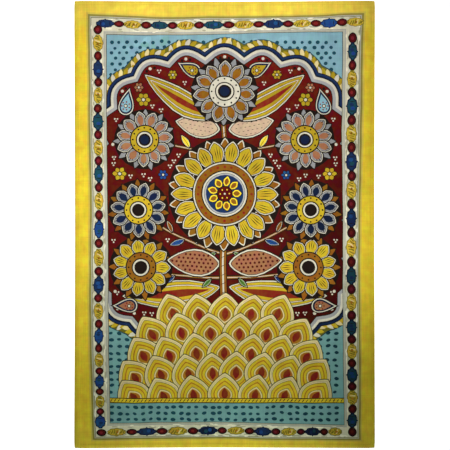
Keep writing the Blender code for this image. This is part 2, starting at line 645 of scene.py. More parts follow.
def paint_border():
    """The white band between its double pen lines, with its chain of beads."""
    for outer, inner, dye in BORDER_BANDS:
        band(outer, inner, dye)
    smudges()
    chain("top", (-241, -142.3, -46, 63.7, 168.3, 264.8), (16.5, 17.8), 19,
          ("blue", "red", "yellow", "red"), pen=1.2, girth=0.95, reach=1.08)
    chain("right", (378.8, 212.3, 41.6, -132, -281.3, -420.5), (18.6, 18.0), 31,
          ("red", "blue", "red", "yellow"), pen=1.8, girth=1.16, reach=1.14)
    chain("foot", (-248, -144.5, -39.9, 55.5, 145.3, 225.2), (16.2, 19.3), 18,
          ("red", "yellow", "red", "blue"), pen=2.0, girth=0.92, reach=1.0)
    chain("left", (397.1, 230.6, 64.4, -111.7, -270.2, -399.2), (19.6, 16.8), 32,
          ("red", "yellow", "red", "blue"), pen=1.5, girth=1.10, reach=1.0)


# The medallion that frames the tree, and the mound that it grows from
MEDALLION_AT = 64j
MEDALLION_WIDE, MEDALLION_TALL = 262.0, 284.0
MEDALLION_LOBES = 24
LOBE_STEPS = 8
LOBE_RISE = 19.0
UNDER_BORDER = 256.0
MOUND_AT = -358j
MOUND_WIDE, MOUND_TALL = 184.0, 204.0
MOUND_ROWS = 5
SCALE_PITCH = 56.0
SCALE_LONG, SCALE_WIDE = 88.0, 72.0
WATER_LEVEL = -363.0

# The ground's dots, and the dashes that take their place below a level
GROUND_FOOT, GROUND_TOP = -395.0, 380.0
GROUND_LEFT, GROUND_RIGHT = -230.0, 232.0
DASHES_BELOW = -120.0
DOT_PITCH, DOT_ROWS = 16.8, 11.0
DASH_PITCH, DASH_ROWS = 15.7, 13.4
CLEAR_OF_MOUND = 90.0
WASH_PATCHES = 240


def off_row(x, y):
    """A place of a dot or dash, a little off its row."""
    return complex(x + hand.uniform(-2, 2), y + hand.uniform(-1.3, 1.3))


def teal_mark(spot, level):
    """A dark dot of the ground, or a level dash."""
    size = hand.uniform(3.0, 4.0)
    along, across = (1.4, 0.95) if level else (1.08, 1.0)
    paint(ellipse(spot, along * size, across * size, hand.uniform(-0.4, 0.4), 8), "teal")


def wash_patches(medallion):
    """Paler, bluer and greener patches, where the ground's wash dried unevenly."""
    for _ in range(WASH_PATCHES):
        level = hand.choice((hand.uniform(150, 375), hand.uniform(-390, -100)))
        spot = complex(hand.uniform(-228, 228), level)
        if not is_inside(spot, medallion):
            size = hand.uniform(6, 13)
            dye = hand.choice(("pale sky", "lilac sky", "green sky")) if spot.imag > 0 else "green sky"
            paint(ellipse(spot, size, 0.6 * size, hand.uniform(0, 3), 11), dye)


def paint_ground():
    """The sky-blue field with its dark dots: staggered above, in rows of dashes below."""
    field = frame_line(BORDER_WIDTH - 1)
    paint(field, "sky")
    paint([complex(p.real, min(p.imag, DASHES_BELOW)) for p in field], "low sky")
    medallion = inset(scalloped(), 6)
    wash_patches(medallion)
    y = GROUND_FOOT
    row = 0
    while y < GROUND_TOP:
        level = y < DASHES_BELOW
        across = DASH_PITCH if level else DOT_PITCH
        x = GROUND_LEFT + (0 if level or row % 2 else across / 2)
        while x < GROUND_RIGHT:
            spot = off_row(x, y)
            if not is_inside(spot, medallion) and abs(spot - MOUND_AT) > CLEAR_OF_MOUND:
                teal_mark(spot, level)
            x += across
        y += DASH_ROWS if level else DOT_ROWS
        row += 1


def medallion_edge(angle):
    """A point of the medallion's smooth edge: rounder above, squarer below."""
    x, y = squared(angle, 3.0 if math.sin(angle) > 0 else 5.0)
    return MEDALLION_AT + complex(MEDALLION_WIDE * x, MEDALLION_TALL * y)


def even_points(outline, count):
    """A closed outline's points at even distances along it."""
    lengths = [abs(outline[(k + 1) % len(outline)] - p) for k, p in enumerate(outline)]
    total = sum(lengths)
    points = []
    k, passed = 0, 0.0
    for step in range(count):
        wanted = total * step / count
        while passed + lengths[k] < wanted:
            passed += lengths[k]
            k += 1
        share = (wanted - passed) / lengths[k]
        points.append(outline[k] + (outline[(k + 1) % len(outline)] - outline[k]) * share)
    return points


def scalloped(rise=LOBE_RISE, reach=0.0):
    """The medallion's edge, with an arched lobe between each two cusps, or a line beyond it."""
    fine = [medallion_edge(math.pi / 2 + 2 * math.pi * k / 720) for k in range(720)]
    cusps = even_points(fine, 2 * MEDALLION_LOBES)[1::2]
    outline = []
    for k, cusp in enumerate(cusps):
        chord = cusps[(k + 1) % len(cusps)] - cusp
        outward = -1j * chord / abs(chord)
        for step in range(LOBE_STEPS):
            share = step / LOBE_STEPS
            outline.append(cusp + chord * share + outward * (reach + rise * 4 * share * (1 - share)))
    return outline


# The rope round the medallion: the rise of its lobes, how far out its dark ground reaches, its
# strokes' pitch and dyes, and how far to the left and right they are drawn
ROPE_RISE = 0.72 * LOBE_RISE
ROPE_REACH = 19.0
ROPE_PITCH = 9.0
ROPE_DYES = ("leaf yellow", "cream", "leaf yellow", "straw")
ROPE_HALF = 238.0
# The medallion's bands, each from a depth inside its edge inwards
MEDALLION_BANDS = ((-1.6, "pen"), (0.0, "indigo"), (3.6, "deep indigo"), (5.8, "pen"), (7.2, "cream"),
                   (12.4, "greyed"), (18.6, "pen"), (20.2, "maroon"))
DOTS_DEPTH, DOTS_HALF = 26.0, 228.0


def paint_rope(edge):
    """The slanting petals of the rope, on a dark ground."""
    paint(kept_within(scalloped(ROPE_RISE, ROPE_REACH), UNDER_BORDER), "teal")
    paint(kept_within(scalloped(ROPE_RISE, ROPE_REACH - 2), UNDER_BORDER), "olive")
    around = sum(abs(p - edge[k - 1]) for k, p in enumerate(edge))
    turns = round(around / (ROPE_PITCH * len(ROPE_DYES)))
    rope = even_points(edge, len(ROPE_DYES) * turns)
    for k, point in enumerate(rope):
        ahead = rope[(k + 1) % len(rope)] - rope[k - 1]
        outward = -1j * ahead / abs(ahead)
        lean = cmath.phase(outward) + (0.7 if point.real > 0 else -0.7)
        if abs(point.real) < ROPE_HALF:
            width = hand.uniform(8.0, 9.6)
            lean += hand.uniform(-0.1, 0.1)
            paint(petal(point - 5 * outward, lean, 22, width, fullness=1.2), ROPE_DYES[k % len(ROPE_DYES)])


def paint_medallion():
    """Maroon within an indigo band, a pale band and a rope of slanting strokes."""
    edge = scalloped()
    paint_rope(edge)
    for depth, dye in MEDALLION_BANDS:
        paint(kept_within(inset(edge, depth), UNDER_BORDER), dye)
    for k, point in enumerate(inset(edge, DOTS_DEPTH)):
        if abs(point.real) > DOTS_HALF:
            continue
        if k % LOBE_STEPS in (0, 4):
            disc(point, 3.2, "cream")
        elif k % LOBE_STEPS in (2, 6):
            disc(point, 3.0, "pen")


def paint_mound():
    """A mound of overlapping scales, each striped in straw, yellow and gold round a rust heart."""
    stripes = [(0, "olive pen"), (1.5, "straw"), (4.4, "blush cream"), (5.4, "straw"), (7.2, "olive"),
               (8.2, "leaf yellow"), (13.0, "gold"), (15.0, "leaf yellow"), (20.0, "olive"),
               (21.0, "straw"), (23.6, "gold")]
    base = [MOUND_AT + complex((MOUND_WIDE - 16) * math.cos(a), (MOUND_TALL - 40) * math.sin(a))
            for a in (math.pi * k / 24 for k in range(25))]
    paint(base, "leaf yellow")
    for row in range(MOUND_ROWS):
        height = MOUND_TALL * (1 - (row + 1) / MOUND_ROWS)
        half = MOUND_WIDE * math.sqrt(1 - (height / MOUND_TALL) ** 2 * 0.92) - 26
        count = 2 * round(half / SCALE_PITCH) + row % 2
        for k in range(count + 1):
            x = -half + 2 * half * k / count
            place = MOUND_AT + complex(x + hand.uniform(-2, 2), height - 30 + hand.uniform(-3, 3))
            turn = math.pi / 2 - 0.7 * x / MOUND_WIDE + hand.uniform(-0.06, 0.06)
            layered(place, turn, SCALE_LONG, SCALE_WIDE, stripes, fullness=0.95, steps=16)
            layered(place + cmath.rect(32, turn), turn, 24, 14, [(0, "rust")], steps=5)


def level_strip(low, high, dye):
    """A level strip from under one side of the border to the other."""
    ends = complex(-UNDER_BORDER, low), complex(UNDER_BORDER, low)
    line = stepped(*ends, 24) + [ends[1]]
    paint(line + [p + 1j * (high - low) for p in reversed(line)], dye)


# The hatched ground line over the water, and the water's rows of dashes, in depths below it
GROUND_LINE_TALL = 11.0
HATCH_LEFT, HATCH_PITCH, HATCHES = -238.0, 7.8, 62
WATER_DEPTH = 60.0
WATER_ROWS = (8, 20.5, 33)
DASHES_LEFT, DASHES = -229.0, 30


def paint_water():
    """The hatched ground line under the mound, with dashed water below it."""
    level_strip(WATER_LEVEL - WATER_DEPTH, WATER_LEVEL, "low sky")
    level_strip(WATER_LEVEL, WATER_LEVEL + GROUND_LINE_TALL, "pen")
    level_strip(WATER_LEVEL + 1.8, WATER_LEVEL + GROUND_LINE_TALL - 1.6, "leaf yellow")
    for k in range(HATCHES):
        x = HATCH_LEFT + HATCH_PITCH * k
        pen_mark(complex(x - 3, WATER_LEVEL + 1.6), complex(x + 3, WATER_LEVEL + 9.6), 2.0)
    for depth in WATER_ROWS:
        for k in range(DASHES):
            teal_mark(off_row(DASHES_LEFT + DASH_PITCH * k, WATER_LEVEL - depth), level=True)


def paint_limbs():
    """The right-hand limbs of the tree with their leaves and blossoms."""
    striped_leaf(6 - 126j, -0.22, 204, 60, 26)
    tip, heading = branch(2 - 108j, 0.0, 170, 0.05, 0.3, 4)
    blossom(tip, 63, "yellow", heading)
    tip, heading = branch(2 - 60j, 0.30, 196, 0.1, 0.3, 5)
    blossom(tip, 60, "blue", heading)
    tip, heading = branch(2 + 140j, 0.20, 164, 0.0, 0.0, 3)
    blossom(tip, 60, "rose", heading)
    dotted_leaf(6 - 80j, 0.02, 114, 60, 6)
    dotted_leaf(6 + 192j, 0.14, 98, 52, 6, "blush cream")
    striped_leaf(6 + 216j, 0.26, 176, 56, 46)
    paisley(202 - 168j, -0.3, 58, "salmon")
    paisley(202 + 250j, 1.5, 62, "sky")
    paisley(74 + 314j, 0.2, 58, "leaf yellow")


def paint_tree():
    """The flowering tree: trunk, limbs, leaves and blossoms, the same on both sides."""
    trunk = [complex(3.5 * math.sin(y / 55), y) for y in range(-300, 288, 18)]
    mirrored(paint_limbs)
    vine(trunk, 15.0, 0.5)
    for point in trunk[1:-1]:
        pen_mark(point - 6.5 - 3j, point + 6.5 + 3j, 1.3)
    for side in (-1, 1):
        leaf(complex(side * 5, -266), math.pi / 2 - side * 1.0, 44, 19, "green", bend=side * 5)
        leaf(complex(side * 5, -290), math.pi / 2 - side * 1.35, 52, 21, "blue", bend=side * 6)
    great_blossom(62j, 111)
    blossom(270j, 66, "brown", math.pi / 2)


CELL = 5.0


def cells_of(painted):
    """The cells of a 5 mm grid that some areas cover."""
    cells = set()
    for outline, dye, _ in painted:
        for k, end in enumerate(outline):
            for p in stepped(outline[k - 1], end, 4.5):
                cells.add((round(p.real / CELL), round(p.imag / CELL)))
        across = [p.real / CELL for p in outline]
        along = [p.imag / CELL for p in outline]
        if dye == "pen" and max(across) - min(across) > 3:
            for column in range(round(min(across)), round(max(across)) + 1):
                for row in range(round(min(along)), round(max(along)) + 1):
                    if is_inside(CELL * complex(column, row), outline):
                        cells.add((column, row))
    return cells


def is_free(spot, cells, reach):
    """Whether no area covers a cell within a reach of a spot."""
    column, row = round(spot.real / CELL), round(spot.imag / CELL)
    near = range(-reach, reach + 1)
    return not any((column + a, row + b) in cells for a in near for b in near)


FLOWER_DYES = (("cream", "leaf yellow"), ("leaf yellow", "gold"), ("cream", "blue"), ("cream", "salmon"))


def small_flower(at, size, kind):
    """A filler of the ground that suits its size: blossom, rosette, berry or trio of dots."""
    edge, body = FLOWER_DYES[kind]
    if size > 17:
        wreath(at, 0.3 * size, size, 8, 0.62 * size, [(0, "pen"), (1.7, edge), (3.9, body)],
               turn=hand.uniform(0, 1), steps=5)
        rings(at, [(0.42 * size, "pen"), (0.42 * size - 1.7, "gold"), (0.18 * size, "pen")])
    elif size > 10:
        dye = edge if kind == 1 else body
        wreath(at, 0.1 * size, size, 6, 0.8 * size, [(0, "pen"), (1.4, dye)], steps=4)
        rings(at, [(0.3 * size, "pen"), (0.2 * size, "cream")])
    elif size > 7:
        rings(at, [(size, "pen"), (size - 1.6, body), (2.2, "cream" if kind == 2 else "pen")])
    else:
        for k in range(3):
            disc(at + cmath.rect(3.1, 2.1 * k + 0.5), 1.8, "cream")


# Each filler's size, the free cells that it needs round it and the step of its search
FILLERS = ((26, 5, 5), (21, 4, 5), (16, 3, 4), (11.5, 2, 4), (8, 2, 4), (5.5, 1, 4))
FILLERS_FOOT, FILLERS_TALL, FILLERS_WIDE = -205, 570, 232
FILLERS_DEPTH, FILLERS_HALF = 30.0, 227.0


def paint_fillers(first, inside):
    """Flowers, berries and trios of dots, smaller and smaller, where the maroon is bare."""
    cells = cells_of(areas[first:])
    kind = 0
    for size, reach, step in FILLERS:
        for row in range(int(FILLERS_TALL / step)):
            for column in range(1, int(FILLERS_WIDE / step)):
                spot = complex(column * step + hand.uniform(-2, 2),
                               row * step + FILLERS_FOOT + hand.uniform(-2, 2))
                if spot.real < size or not is_free(spot, cells, reach) or not is_inside(spot, inside):
                    continue
                before = len(areas)
                mirrored(small_flower, spot, size, kind)
                cells |= cells_of(areas[before:])
                kind = (kind + 1) % len(FLOWER_DYES)


def paint_all():
    """The whole drawing in the order in which it is laid on the cloth."""
    paint_ground()
    paint_medallion()
    after_medallion = len(areas)
    paint_tree()
    paint_mound()
    paint_water()
    inside = kept_within(inset(scalloped(), FILLERS_DEPTH), FILLERS_HALF)
    paint_fillers(after_medallion, inside)
    paint_border()


# From the painted areas to a closed sheet of cloth

def by_hand(point):
    """Where the hand put a point of the drawing."""
    for amount, reach, level in ((DRIFT, DRIFT_REACH, 3.0), (TREMBLE, TREMBLE_REACH, 9.0)):
        push = noise.noise_vector(Vector((point.real / reach, point.imag / reach, level)))
        point += amount * complex(push.x, push.y)
    return point


def lift(x, y):
    """How far the cloth stands off the surface at a point."""
    total = 0.0
    for row in LIFTS:
        across, along = row["place"]
        away = math.hypot(x - across * WIDTH / 2, y - along * LENGTH / 2)
        if away < row["reach"]:
            total += row["height"] * (1 - (away / row["reach"]) ** 2) ** 2
    return total


def thickness(x, y):
    """The single cloth, or the folded hem within its width of the edge."""
    inside = min(WIDTH / 2 - abs(x), LENGTH / 2 - abs(y))
    share = min(1.0, max(0.0, (HEM_WIDTH - inside) / HEM_SLOPE))
    return CLOTH_THICK + HEM_EXTRA * share


def drawn_in(point):
    """A point moved in where the cloth's edges bow."""
    u = 2 * point.real / WIDTH
    v = 2 * point.imag / LENGTH
    return point - complex(EDGE_DRAW_IN * u ** 3 * math.cos(v * math.pi / 2) ** 2,
                           EDGE_DRAW_IN * v ** 3 * math.cos(u * math.pi / 2) ** 2)


def cloth_outline(depth):
    """The cloth's edge, or a line at a depth inside it, with blunt corners."""
    half_wide, half_long = WIDTH / 2 - depth, LENGTH / 2 - depth
    blunt = CORNER_BLUNT / 2
    corners = []
    for a, b in ((-1, -1), (1, -1), (1, 1), (-1, 1)):
        corners.append(complex(a * (half_wide - blunt), b * (half_long - blunt)))
    points = []
    for k, corner in enumerate(corners):
        ahead = corners[(k + 1) % 4]
        out = complex(0, -blunt) * 1j ** k
        along = (ahead - corner) / abs(ahead - corner)
        points.append(corner)
        points += stepped(corner + out + along * EDGE_STEP, ahead + out - along * EDGE_STEP, EDGE_STEP)
        points.append(ahead + out - along * EDGE_STEP)
    return [drawn_in(point) for point in points]


def clean(outline):
    """An outline without doubled points, running anticlockwise."""
    kept = []
    for point in outline:
        if not kept or abs(point - kept[-1]) > 0.02:
            kept.append(point)
    if abs(kept[0] - kept[-1]) < 0.02:
        kept.pop()
    area = sum((kept[k - 1].conjugate() * point).imag for k, point in enumerate(kept))
    return kept if area > 0 else kept[::-1]


def cut(edge, painted):
    """Cuts overlapping areas into triangles, each with the dye that lies on top.

    The numbers that the edge's points got are returned too.
    """
    # The folded hem takes a little less light and dye, on its band and on its slope
    layers = [(edge, "yellow", 0.97), (cloth_outline(HEM_WIDTH - HEM_SLOPE), "yellow", 0.985),
              (cloth_outline(HEM_WIDTH), "yellow", 1.0)]
    layers += [(clean(outline), dye, strength) for outline, dye, strength in painted]
    points, faces = [], []
    for outline, _, _ in layers:
        faces.append(list(range(len(points), len(points) + len(outline))))
        points += [Vector((p.real, p.imag)) for p in outline]
    points, _, triangles, origins, _, sources = delaunay_2d_cdt(points, [], faces, 0, CUT_NEARNESS, True)
    tops = [layers[max(ids)][1:] if ids else None for ids in sources]
    return cut_again(points, triangles, tops, origins, len(edge))


def cut_again(points, triangles, tops, origins, edge_count):
    """Cuts the same painting along its visible lines alone, into far fewer triangles.

    Loose points keep the bare cloth's triangles small enough to follow its lifts.
    """
    beside = {}
    for corners, top in zip(triangles, tops):
        for k in range(3):
            beside[corners[k - 1], corners[k]] = top
    lines = []
    for way, top in beside.items():
        once = way[0] < way[1] or way[::-1] not in beside
        if once and beside.get(way[::-1]) != top:
            lines.append(way)
    used = sorted({end for line in lines for end in line})
    number = {old: k for k, old in enumerate(used)}
    loose = loose_points()
    ends = [(number[first], number[last]) for first, last in lines]
    kept, sides, triangles, places, line_ids, _ = delaunay_2d_cdt(
        [points[k] for k in used] + loose, ends, [], 0, CUT_NEARNESS, True)
    known = {}
    for (a, b), ids in zip(sides, line_ids):
        if ids:
            first, last = lines[ids[0]]
            if (kept[b] - kept[a]).dot(points[last] - points[first]) < 0:
                a, b = b, a
            known[a, b] = beside.get((first, last))
            known[b, a] = beside.get((last, first))
    tops = flooded(triangles, known)
    new_place = {used[old]: k for k, ids in enumerate(places) for old in ids if old < len(used)}
    old_place = {old: k for k, ids in enumerate(origins) for old in ids if old < edge_count}
    edge_ids = [new_place[old_place[k]] for k in range(edge_count)]
    return kept, [(corners, top) for corners, top in zip(triangles, tops) if top], edge_ids


def flooded(triangles, known):
    """Each triangle's top, spread from the sides where it is known."""
    tops = [None] * len(triangles)
    owner = {}
    reached = []
    for k, corners in enumerate(triangles):
        for j in range(3):
            way = (corners[j - 1], corners[j])
            owner[way] = k
            if way in known:
                tops[k] = known[way]
                reached.append(k)
    done = set(reached)
    while reached:
        here = reached.pop()
        corners = triangles[here]
        for j in range(3):
            way = (corners[j - 1], corners[j])
            beyond = owner.get(way[::-1])
            if way not in known and beyond is not None and beyond not in done:
                done.add(beyond)
                tops[beyond] = tops[here]
                reached.append(beyond)
    return tops


def loose_points():
    """Even points over the whole cloth."""
    across = int(WIDTH / LOOSE_STEP) - 1
    along = int(LENGTH / LOOSE_STEP) - 1
    return [Vector((WIDTH * (column / across - 0.5), LENGTH * (row / along - 0.5)))
            for row in range(1, along) for column in range(1, across)]


def soaked(painted):
    """The areas that show on the back: the dyes, softened, but not the pen's fine lines."""
    kept = []
    for outline, dye, strength in painted:
        reach = max(abs(point - outline[0]) for point in outline)
        if dye not in SURFACE_DYES and reach > SOAKED_REACH:
            kept.append((outline[::2] if len(outline) > 11 else outline, dye, strength))
    return kept


def laid(dye, x, y):
    """How strongly a dye lies at a place, with painted shade that darkens the madder and indigo towards
    the lower right.
    """
    strength = 1.0
    if dye in FIELD_STRENGTHS:
        strength = eased(FIELD_STRENGTHS[dye], min(1.0, max(0.0, 0.5 - y / FIELD_REACH / 2)))
    # Painted shade: madder and indigo colours made darker towards the lower right
    if x > 0 and y < SHADE_BELOW:
        shade_share = min(1.0, x / SHADE_REACH) * min(1.0, (SHADE_BELOW - y) / SHADE_BELOW)
        strength *= 1 - PAINTED_SHADE_LOW_RIGHT.get(dye, 0.0) * shade_share
    return strength


def thinned(dye, y):
    """How far a dye was thinned at a level of the cloth: only the wash of yellow was."""
    if dye != "yellow":
        return 0.0
    most = THINNED_TOP if y > 0 else THINNED_FOOT
    return most * min(1.0, max(0.0, (abs(y) - THINNED_FROM) / THINNED_REACH))


def dyed(dye, strength, paled=0.0):
    """A dye's colour, washed towards the bare cotton."""
    bare = LINEAR_DYES["cotton"]
    return [c * strength * (1 - paled) + b * paled for c, b in zip(LINEAR_DYES[dye], bare)] + [1.0]


def build_sheet():
    """The painted cloth as one closed mesh: its face, its back and its folded rim."""
    paint_all()
    drawn = [([by_hand(point) for point in outline], dye, strength) for outline, dye, strength in areas]
    rim = cloth_outline(0.0)
    edge = clean(inset(rim, EDGE_ROUND))
    face = cut(edge, drawn)
    back = cut(edge, soaked(drawn))
    vertices, faces, colours, uvs = [], [], [], []
    for over, (points, triangles, _) in ((True, face), (False, back)):
        first = len(vertices)
        for point in points:
            height = lift(point.x, point.y) + (thickness(point.x, point.y) if over else 0.0)
            vertices.append((point.x, point.y, height))
        for corners, (dye, strength) in triangles:
            ids = [first + k for k in corners]
            faces.append(ids if over else ids[::-1])
            for k in faces[-1]:
                x, y, _ = vertices[k]
                u, v = x / WIDTH + 0.5, y / LENGTH + 0.5
                across = FACE_UV_LEFT + FACE_UV_WIDE * u if over else BACK_UV_RIGHT - BACK_UV_WIDE * u
                uvs += [across, UV_FOOT + UV_TALL * v]
                paled = thinned(dye, y) if over else 1 - SHOWS_THROUGH
                colours += dyed(dye, strength * laid(dye, x, y), paled)
    add_rim(vertices, faces, colours, uvs, rim, face[2], [len(face[0]) + k for k in back[2]])
    return sheet_mesh(vertices, faces, colours, uvs)


def add_rim(vertices, faces, colours, uvs, rim, upper, lower):
    """Joins the face to the back round the folded edge, through two rings of points."""
    rings_made = [upper]
    for share in (0.72, 0.28):
        first = len(vertices)
        for point in rim:
            height = lift(point.real, point.imag) + share * thickness(point.real, point.imag)
            vertices.append((point.real, point.imag, height))
        rings_made.append(list(range(first, first + len(rim))))
    rings_made.append(lower)
    yellow = dyed("yellow", 0.96)
    count = len(rim)
    for level in range(3):
        high, low = rings_made[level], rings_made[level + 1]
        for k in range(count):
            ahead = (k + 1) % count
            faces.append([high[k], low[k], low[ahead], high[ahead]])
            for along, down in ((k, 0), (k, 1), (k + 1, 1), (k + 1, 0)):
                across = RIM_UV_LEFT + RIM_UV_WIDE * (level + down) / 3
                uvs += [across, UV_FOOT + UV_TALL * along / count]
                colours += yellow


def sheet_mesh(vertices, faces, colours, uvs):
    """The sheet's mesh in metres, with its dyes and its texture places."""
    mesh = bpy.data.meshes.new("painted_cloth")
    mesh.from_pydata([(x / 1000, y / 1000, z / 1000) for x, y, z in vertices], [], faces)
    mesh.attributes.new("dye", "FLOAT_COLOR", "CORNER").data.foreach_set("color", colours)
    mesh.uv_layers.new(name="OFBake").uv.foreach_set("vector", uvs)
    mesh.shade_smooth()
    mesh.update()
    return new_object("painted_cloth", mesh)


def new_object(name, data):
    """An object in the scene for a mesh, lamp or camera."""
    made = bpy.data.objects.new(name, data)
    bpy.context.scene.collection.objects.link(made)
    return made


# Materials

def node(tree, kind, links=None, **settings):
    """Adds a node with its settings, and links or sets its inputs."""
    made = tree.nodes.new(kind)
    for name, value in settings.items():
        setattr(made, name, value)
    for name, value in (links or {}).items():
        if isinstance(value, bpy.types.NodeSocket):
            tree.links.new(value, made.inputs[name])
        else:
            made.inputs[name].default_value = value
    return made


def new_material(name, roughness):
    """A material with its node tree and its shader."""
    material = bpy.data.materials.new(name)
    material.use_nodes = True
    shader = material.node_tree.nodes["Principled BSDF"]
    shader.inputs["Roughness"].default_value = roughness
    return material, material.node_tree, shader


# The uneven tones of the dyed cotton: each one's size along x, y and z in metres and its detail
COTTON_TONES = {
    # How much dye the brush held, about 25 mm across, and the dye bath's slow changes
    "loads": ((0.024, 0.030, 0.02), 3.0),
    "bath": ((0.15, 0.20, 0.1), 2.0),
    # Slubs in the warp and the weft: yarns thick for 40 to 80 mm, drawn 1.5 to 3 mm wide
    "warp": ((0.0022, 0.060, 0.02), 1.0),
    "weft": ((0.050, 0.0020, 0.02), 1.0),
    # The dyes turn a little greener or redder from patch to patch, about 15 mm across
    "hue": ((0.014, 0.016, 0.02), 2.0),
}
# What is made of a tone: its values from low to high, and the values that they turn into
COTTON_RANGES = {
    "loads": ("loads", 0.3, 0.7, 0.90, 1.09),
    "bath": ("bath", 0.3, 0.7, 0.95, 1.05),
    "warp slubs": ("warp", 0.25, 0.75, 0.94, 1.055),
    "weft slubs": ("weft", 0.25, 0.75, 0.96, 1.04),
    "hue": ("hue", 0.3, 0.7, 0.485, 0.515),
    "roughness": ("warp", 0.3, 0.7, 0.86, 0.97),
}
# The real threads lie 0.5 mm apart, too fine to show, so the weave is drawn at 3.4 mm
WEAVE_PITCH = 0.0034
# The sewing thread's plies turn about every 0.8 mm
PLY_PITCH = 0.0008
# A wave texture at scale 1 repeats every pi / 10 of a metre
WAVE_REPEAT = math.pi / 10


def painted_cotton():
    """Plain-woven cotton under vegetable dyes laid on with a bamboo pen and a brush.

    The eye gets a matt, slightly fuzzy cloth, dyes that pool and thin by the brush load,
    pale slubs where thick yarns took less dye, and the weave across the whole.
    """
    material, tree, shader = new_material("painted_cotton", 0.92)
    place = node(tree, "ShaderNodeTexCoord").outputs["Object"]
    dye = node(tree, "ShaderNodeAttribute", attribute_name="dye").outputs["Color"]
    tones = {}
    for name, (size, detail) in COTTON_TONES.items():
        scaled = node(tree, "ShaderNodeMapping", {"Vector": place, "Scale": [1 / s for s in size]})
        links = {"Vector": scaled.outputs["Vector"], "Scale": 1.0, "Detail": detail, "Roughness": 0.55}
        tones[name] = node(tree, "ShaderNodeTexNoise", links).outputs["Fac"]
    ranged = {}
    for name, (tone, low, high, to_low, to_high) in COTTON_RANGES.items():
        links = {"Value": tones[tone], "From Min": low, "From Max": high,
                 "To Min": to_low, "To Max": to_high}
        ranged[name] = node(tree, "ShaderNodeMapRange", links).outputs["Result"]
    value = ranged["loads"]
    for name in ("bath", "warp slubs", "weft slubs"):
        made = node(tree, "ShaderNodeMath", {0: value, 1: ranged[name]}, operation="MULTIPLY")
        value = made.outputs["Value"]
    toned = node(tree, "ShaderNodeHueSaturation", {"Color": dye, "Hue": ranged["hue"], "Value": value})
    tree.links.new(toned.outputs["Color"], shader.inputs["Base Color"])

    links = {"Vector": place, "Scale": WAVE_REPEAT / WEAVE_PITCH, "Distortion": 0.6, "Detail": 1.0}
    threads = [node(tree, "ShaderNodeTexWave", links, bands_direction=way).outputs["Fac"] for way in "XY"]
    weave = node(tree, "ShaderNodeMath", {0: threads[0], 1: threads[1]}, operation="MULTIPLY")
    yarns = node(tree, "ShaderNodeMath", {0: tones["warp"], 1: tones["weft"]}, operation="MULTIPLY")
    height = node(tree, "ShaderNodeMath", {0: weave.outputs["Value"], 1: 0.35, 2: yarns.outputs["Value"]},
                  operation="MULTIPLY_ADD")
    bump = node(tree, "ShaderNodeBump", {"Height": height.outputs["Value"], "Strength": 0.4,
                                         "Distance": 0.0006})
    tree.links.new(bump.outputs["Normal"], shader.inputs["Normal"])
    tree.links.new(ranged["roughness"], shader.inputs["Roughness"])
    shader.inputs["Specular IOR Level"].default_value = 0.06
    shader.inputs["Sheen Weight"].default_value = 0.03
    shader.inputs["Sheen Roughness"].default_value = 0.6
    return material


def sewing_cotton():
    """Yellow cotton sewing thread: matt, its plies painted lighter on their ridges and darker in their
    grooves, a painted shine and shade of its twist.
    """
    material, tree, shader = new_material("sewing_cotton", 0.7)
    place = node(tree, "ShaderNodeTexCoord").outputs["Object"]
    links = {"Vector": place, "Scale": WAVE_REPEAT / PLY_PITCH, "Distortion": 2.0}
    plies = node(tree, "ShaderNodeTexWave", links, bands_direction="DIAGONAL")
    # Painted shine and shade: the colour is lighter where the plies rise and darker in the grooves between
    # them
    ply_shade_ramp = node(tree, "ShaderNodeValToRGB", {"Fac": plies.outputs["Fac"]})
    ply_shade_ramp.color_ramp.elements[0].color = linear("B98A1E") + [1.0]
    ply_shade_ramp.color_ramp.elements[1].color = linear("DDB43A") + [1.0]
    tree.links.new(ply_shade_ramp.outputs["Color"], shader.inputs["Base Color"])
    bump = node(tree, "ShaderNodeBump", {"Height": plies.outputs["Fac"], "Strength": 0.4,
                                         "Distance": 0.0001})
    tree.links.new(bump.outputs["Normal"], shader.inputs["Normal"])
    return material


def white_paper():
    """A sheet of white studio paper, smooth and matt, with a little glow of its own."""
    material, _, shader = new_material("white_paper", 0.85)
    shader.inputs["Base Color"].default_value = linear("F4F4F2") + [1.0]
    shader.inputs["Emission Color"].default_value = (1.0, 1.0, 1.0, 1.0)
    shader.inputs["Emission Strength"].default_value = FLOOR_GLOW
    return material


# Stitches along the hem, by Geometry Nodes
STITCH_DEPTH = 7.6
STITCH_PITCH = 0.0034
STITCH_LENGTH = 0.0024
STITCH_WIDTH = 0.0006
STITCH_HEIGHT = 0.0004


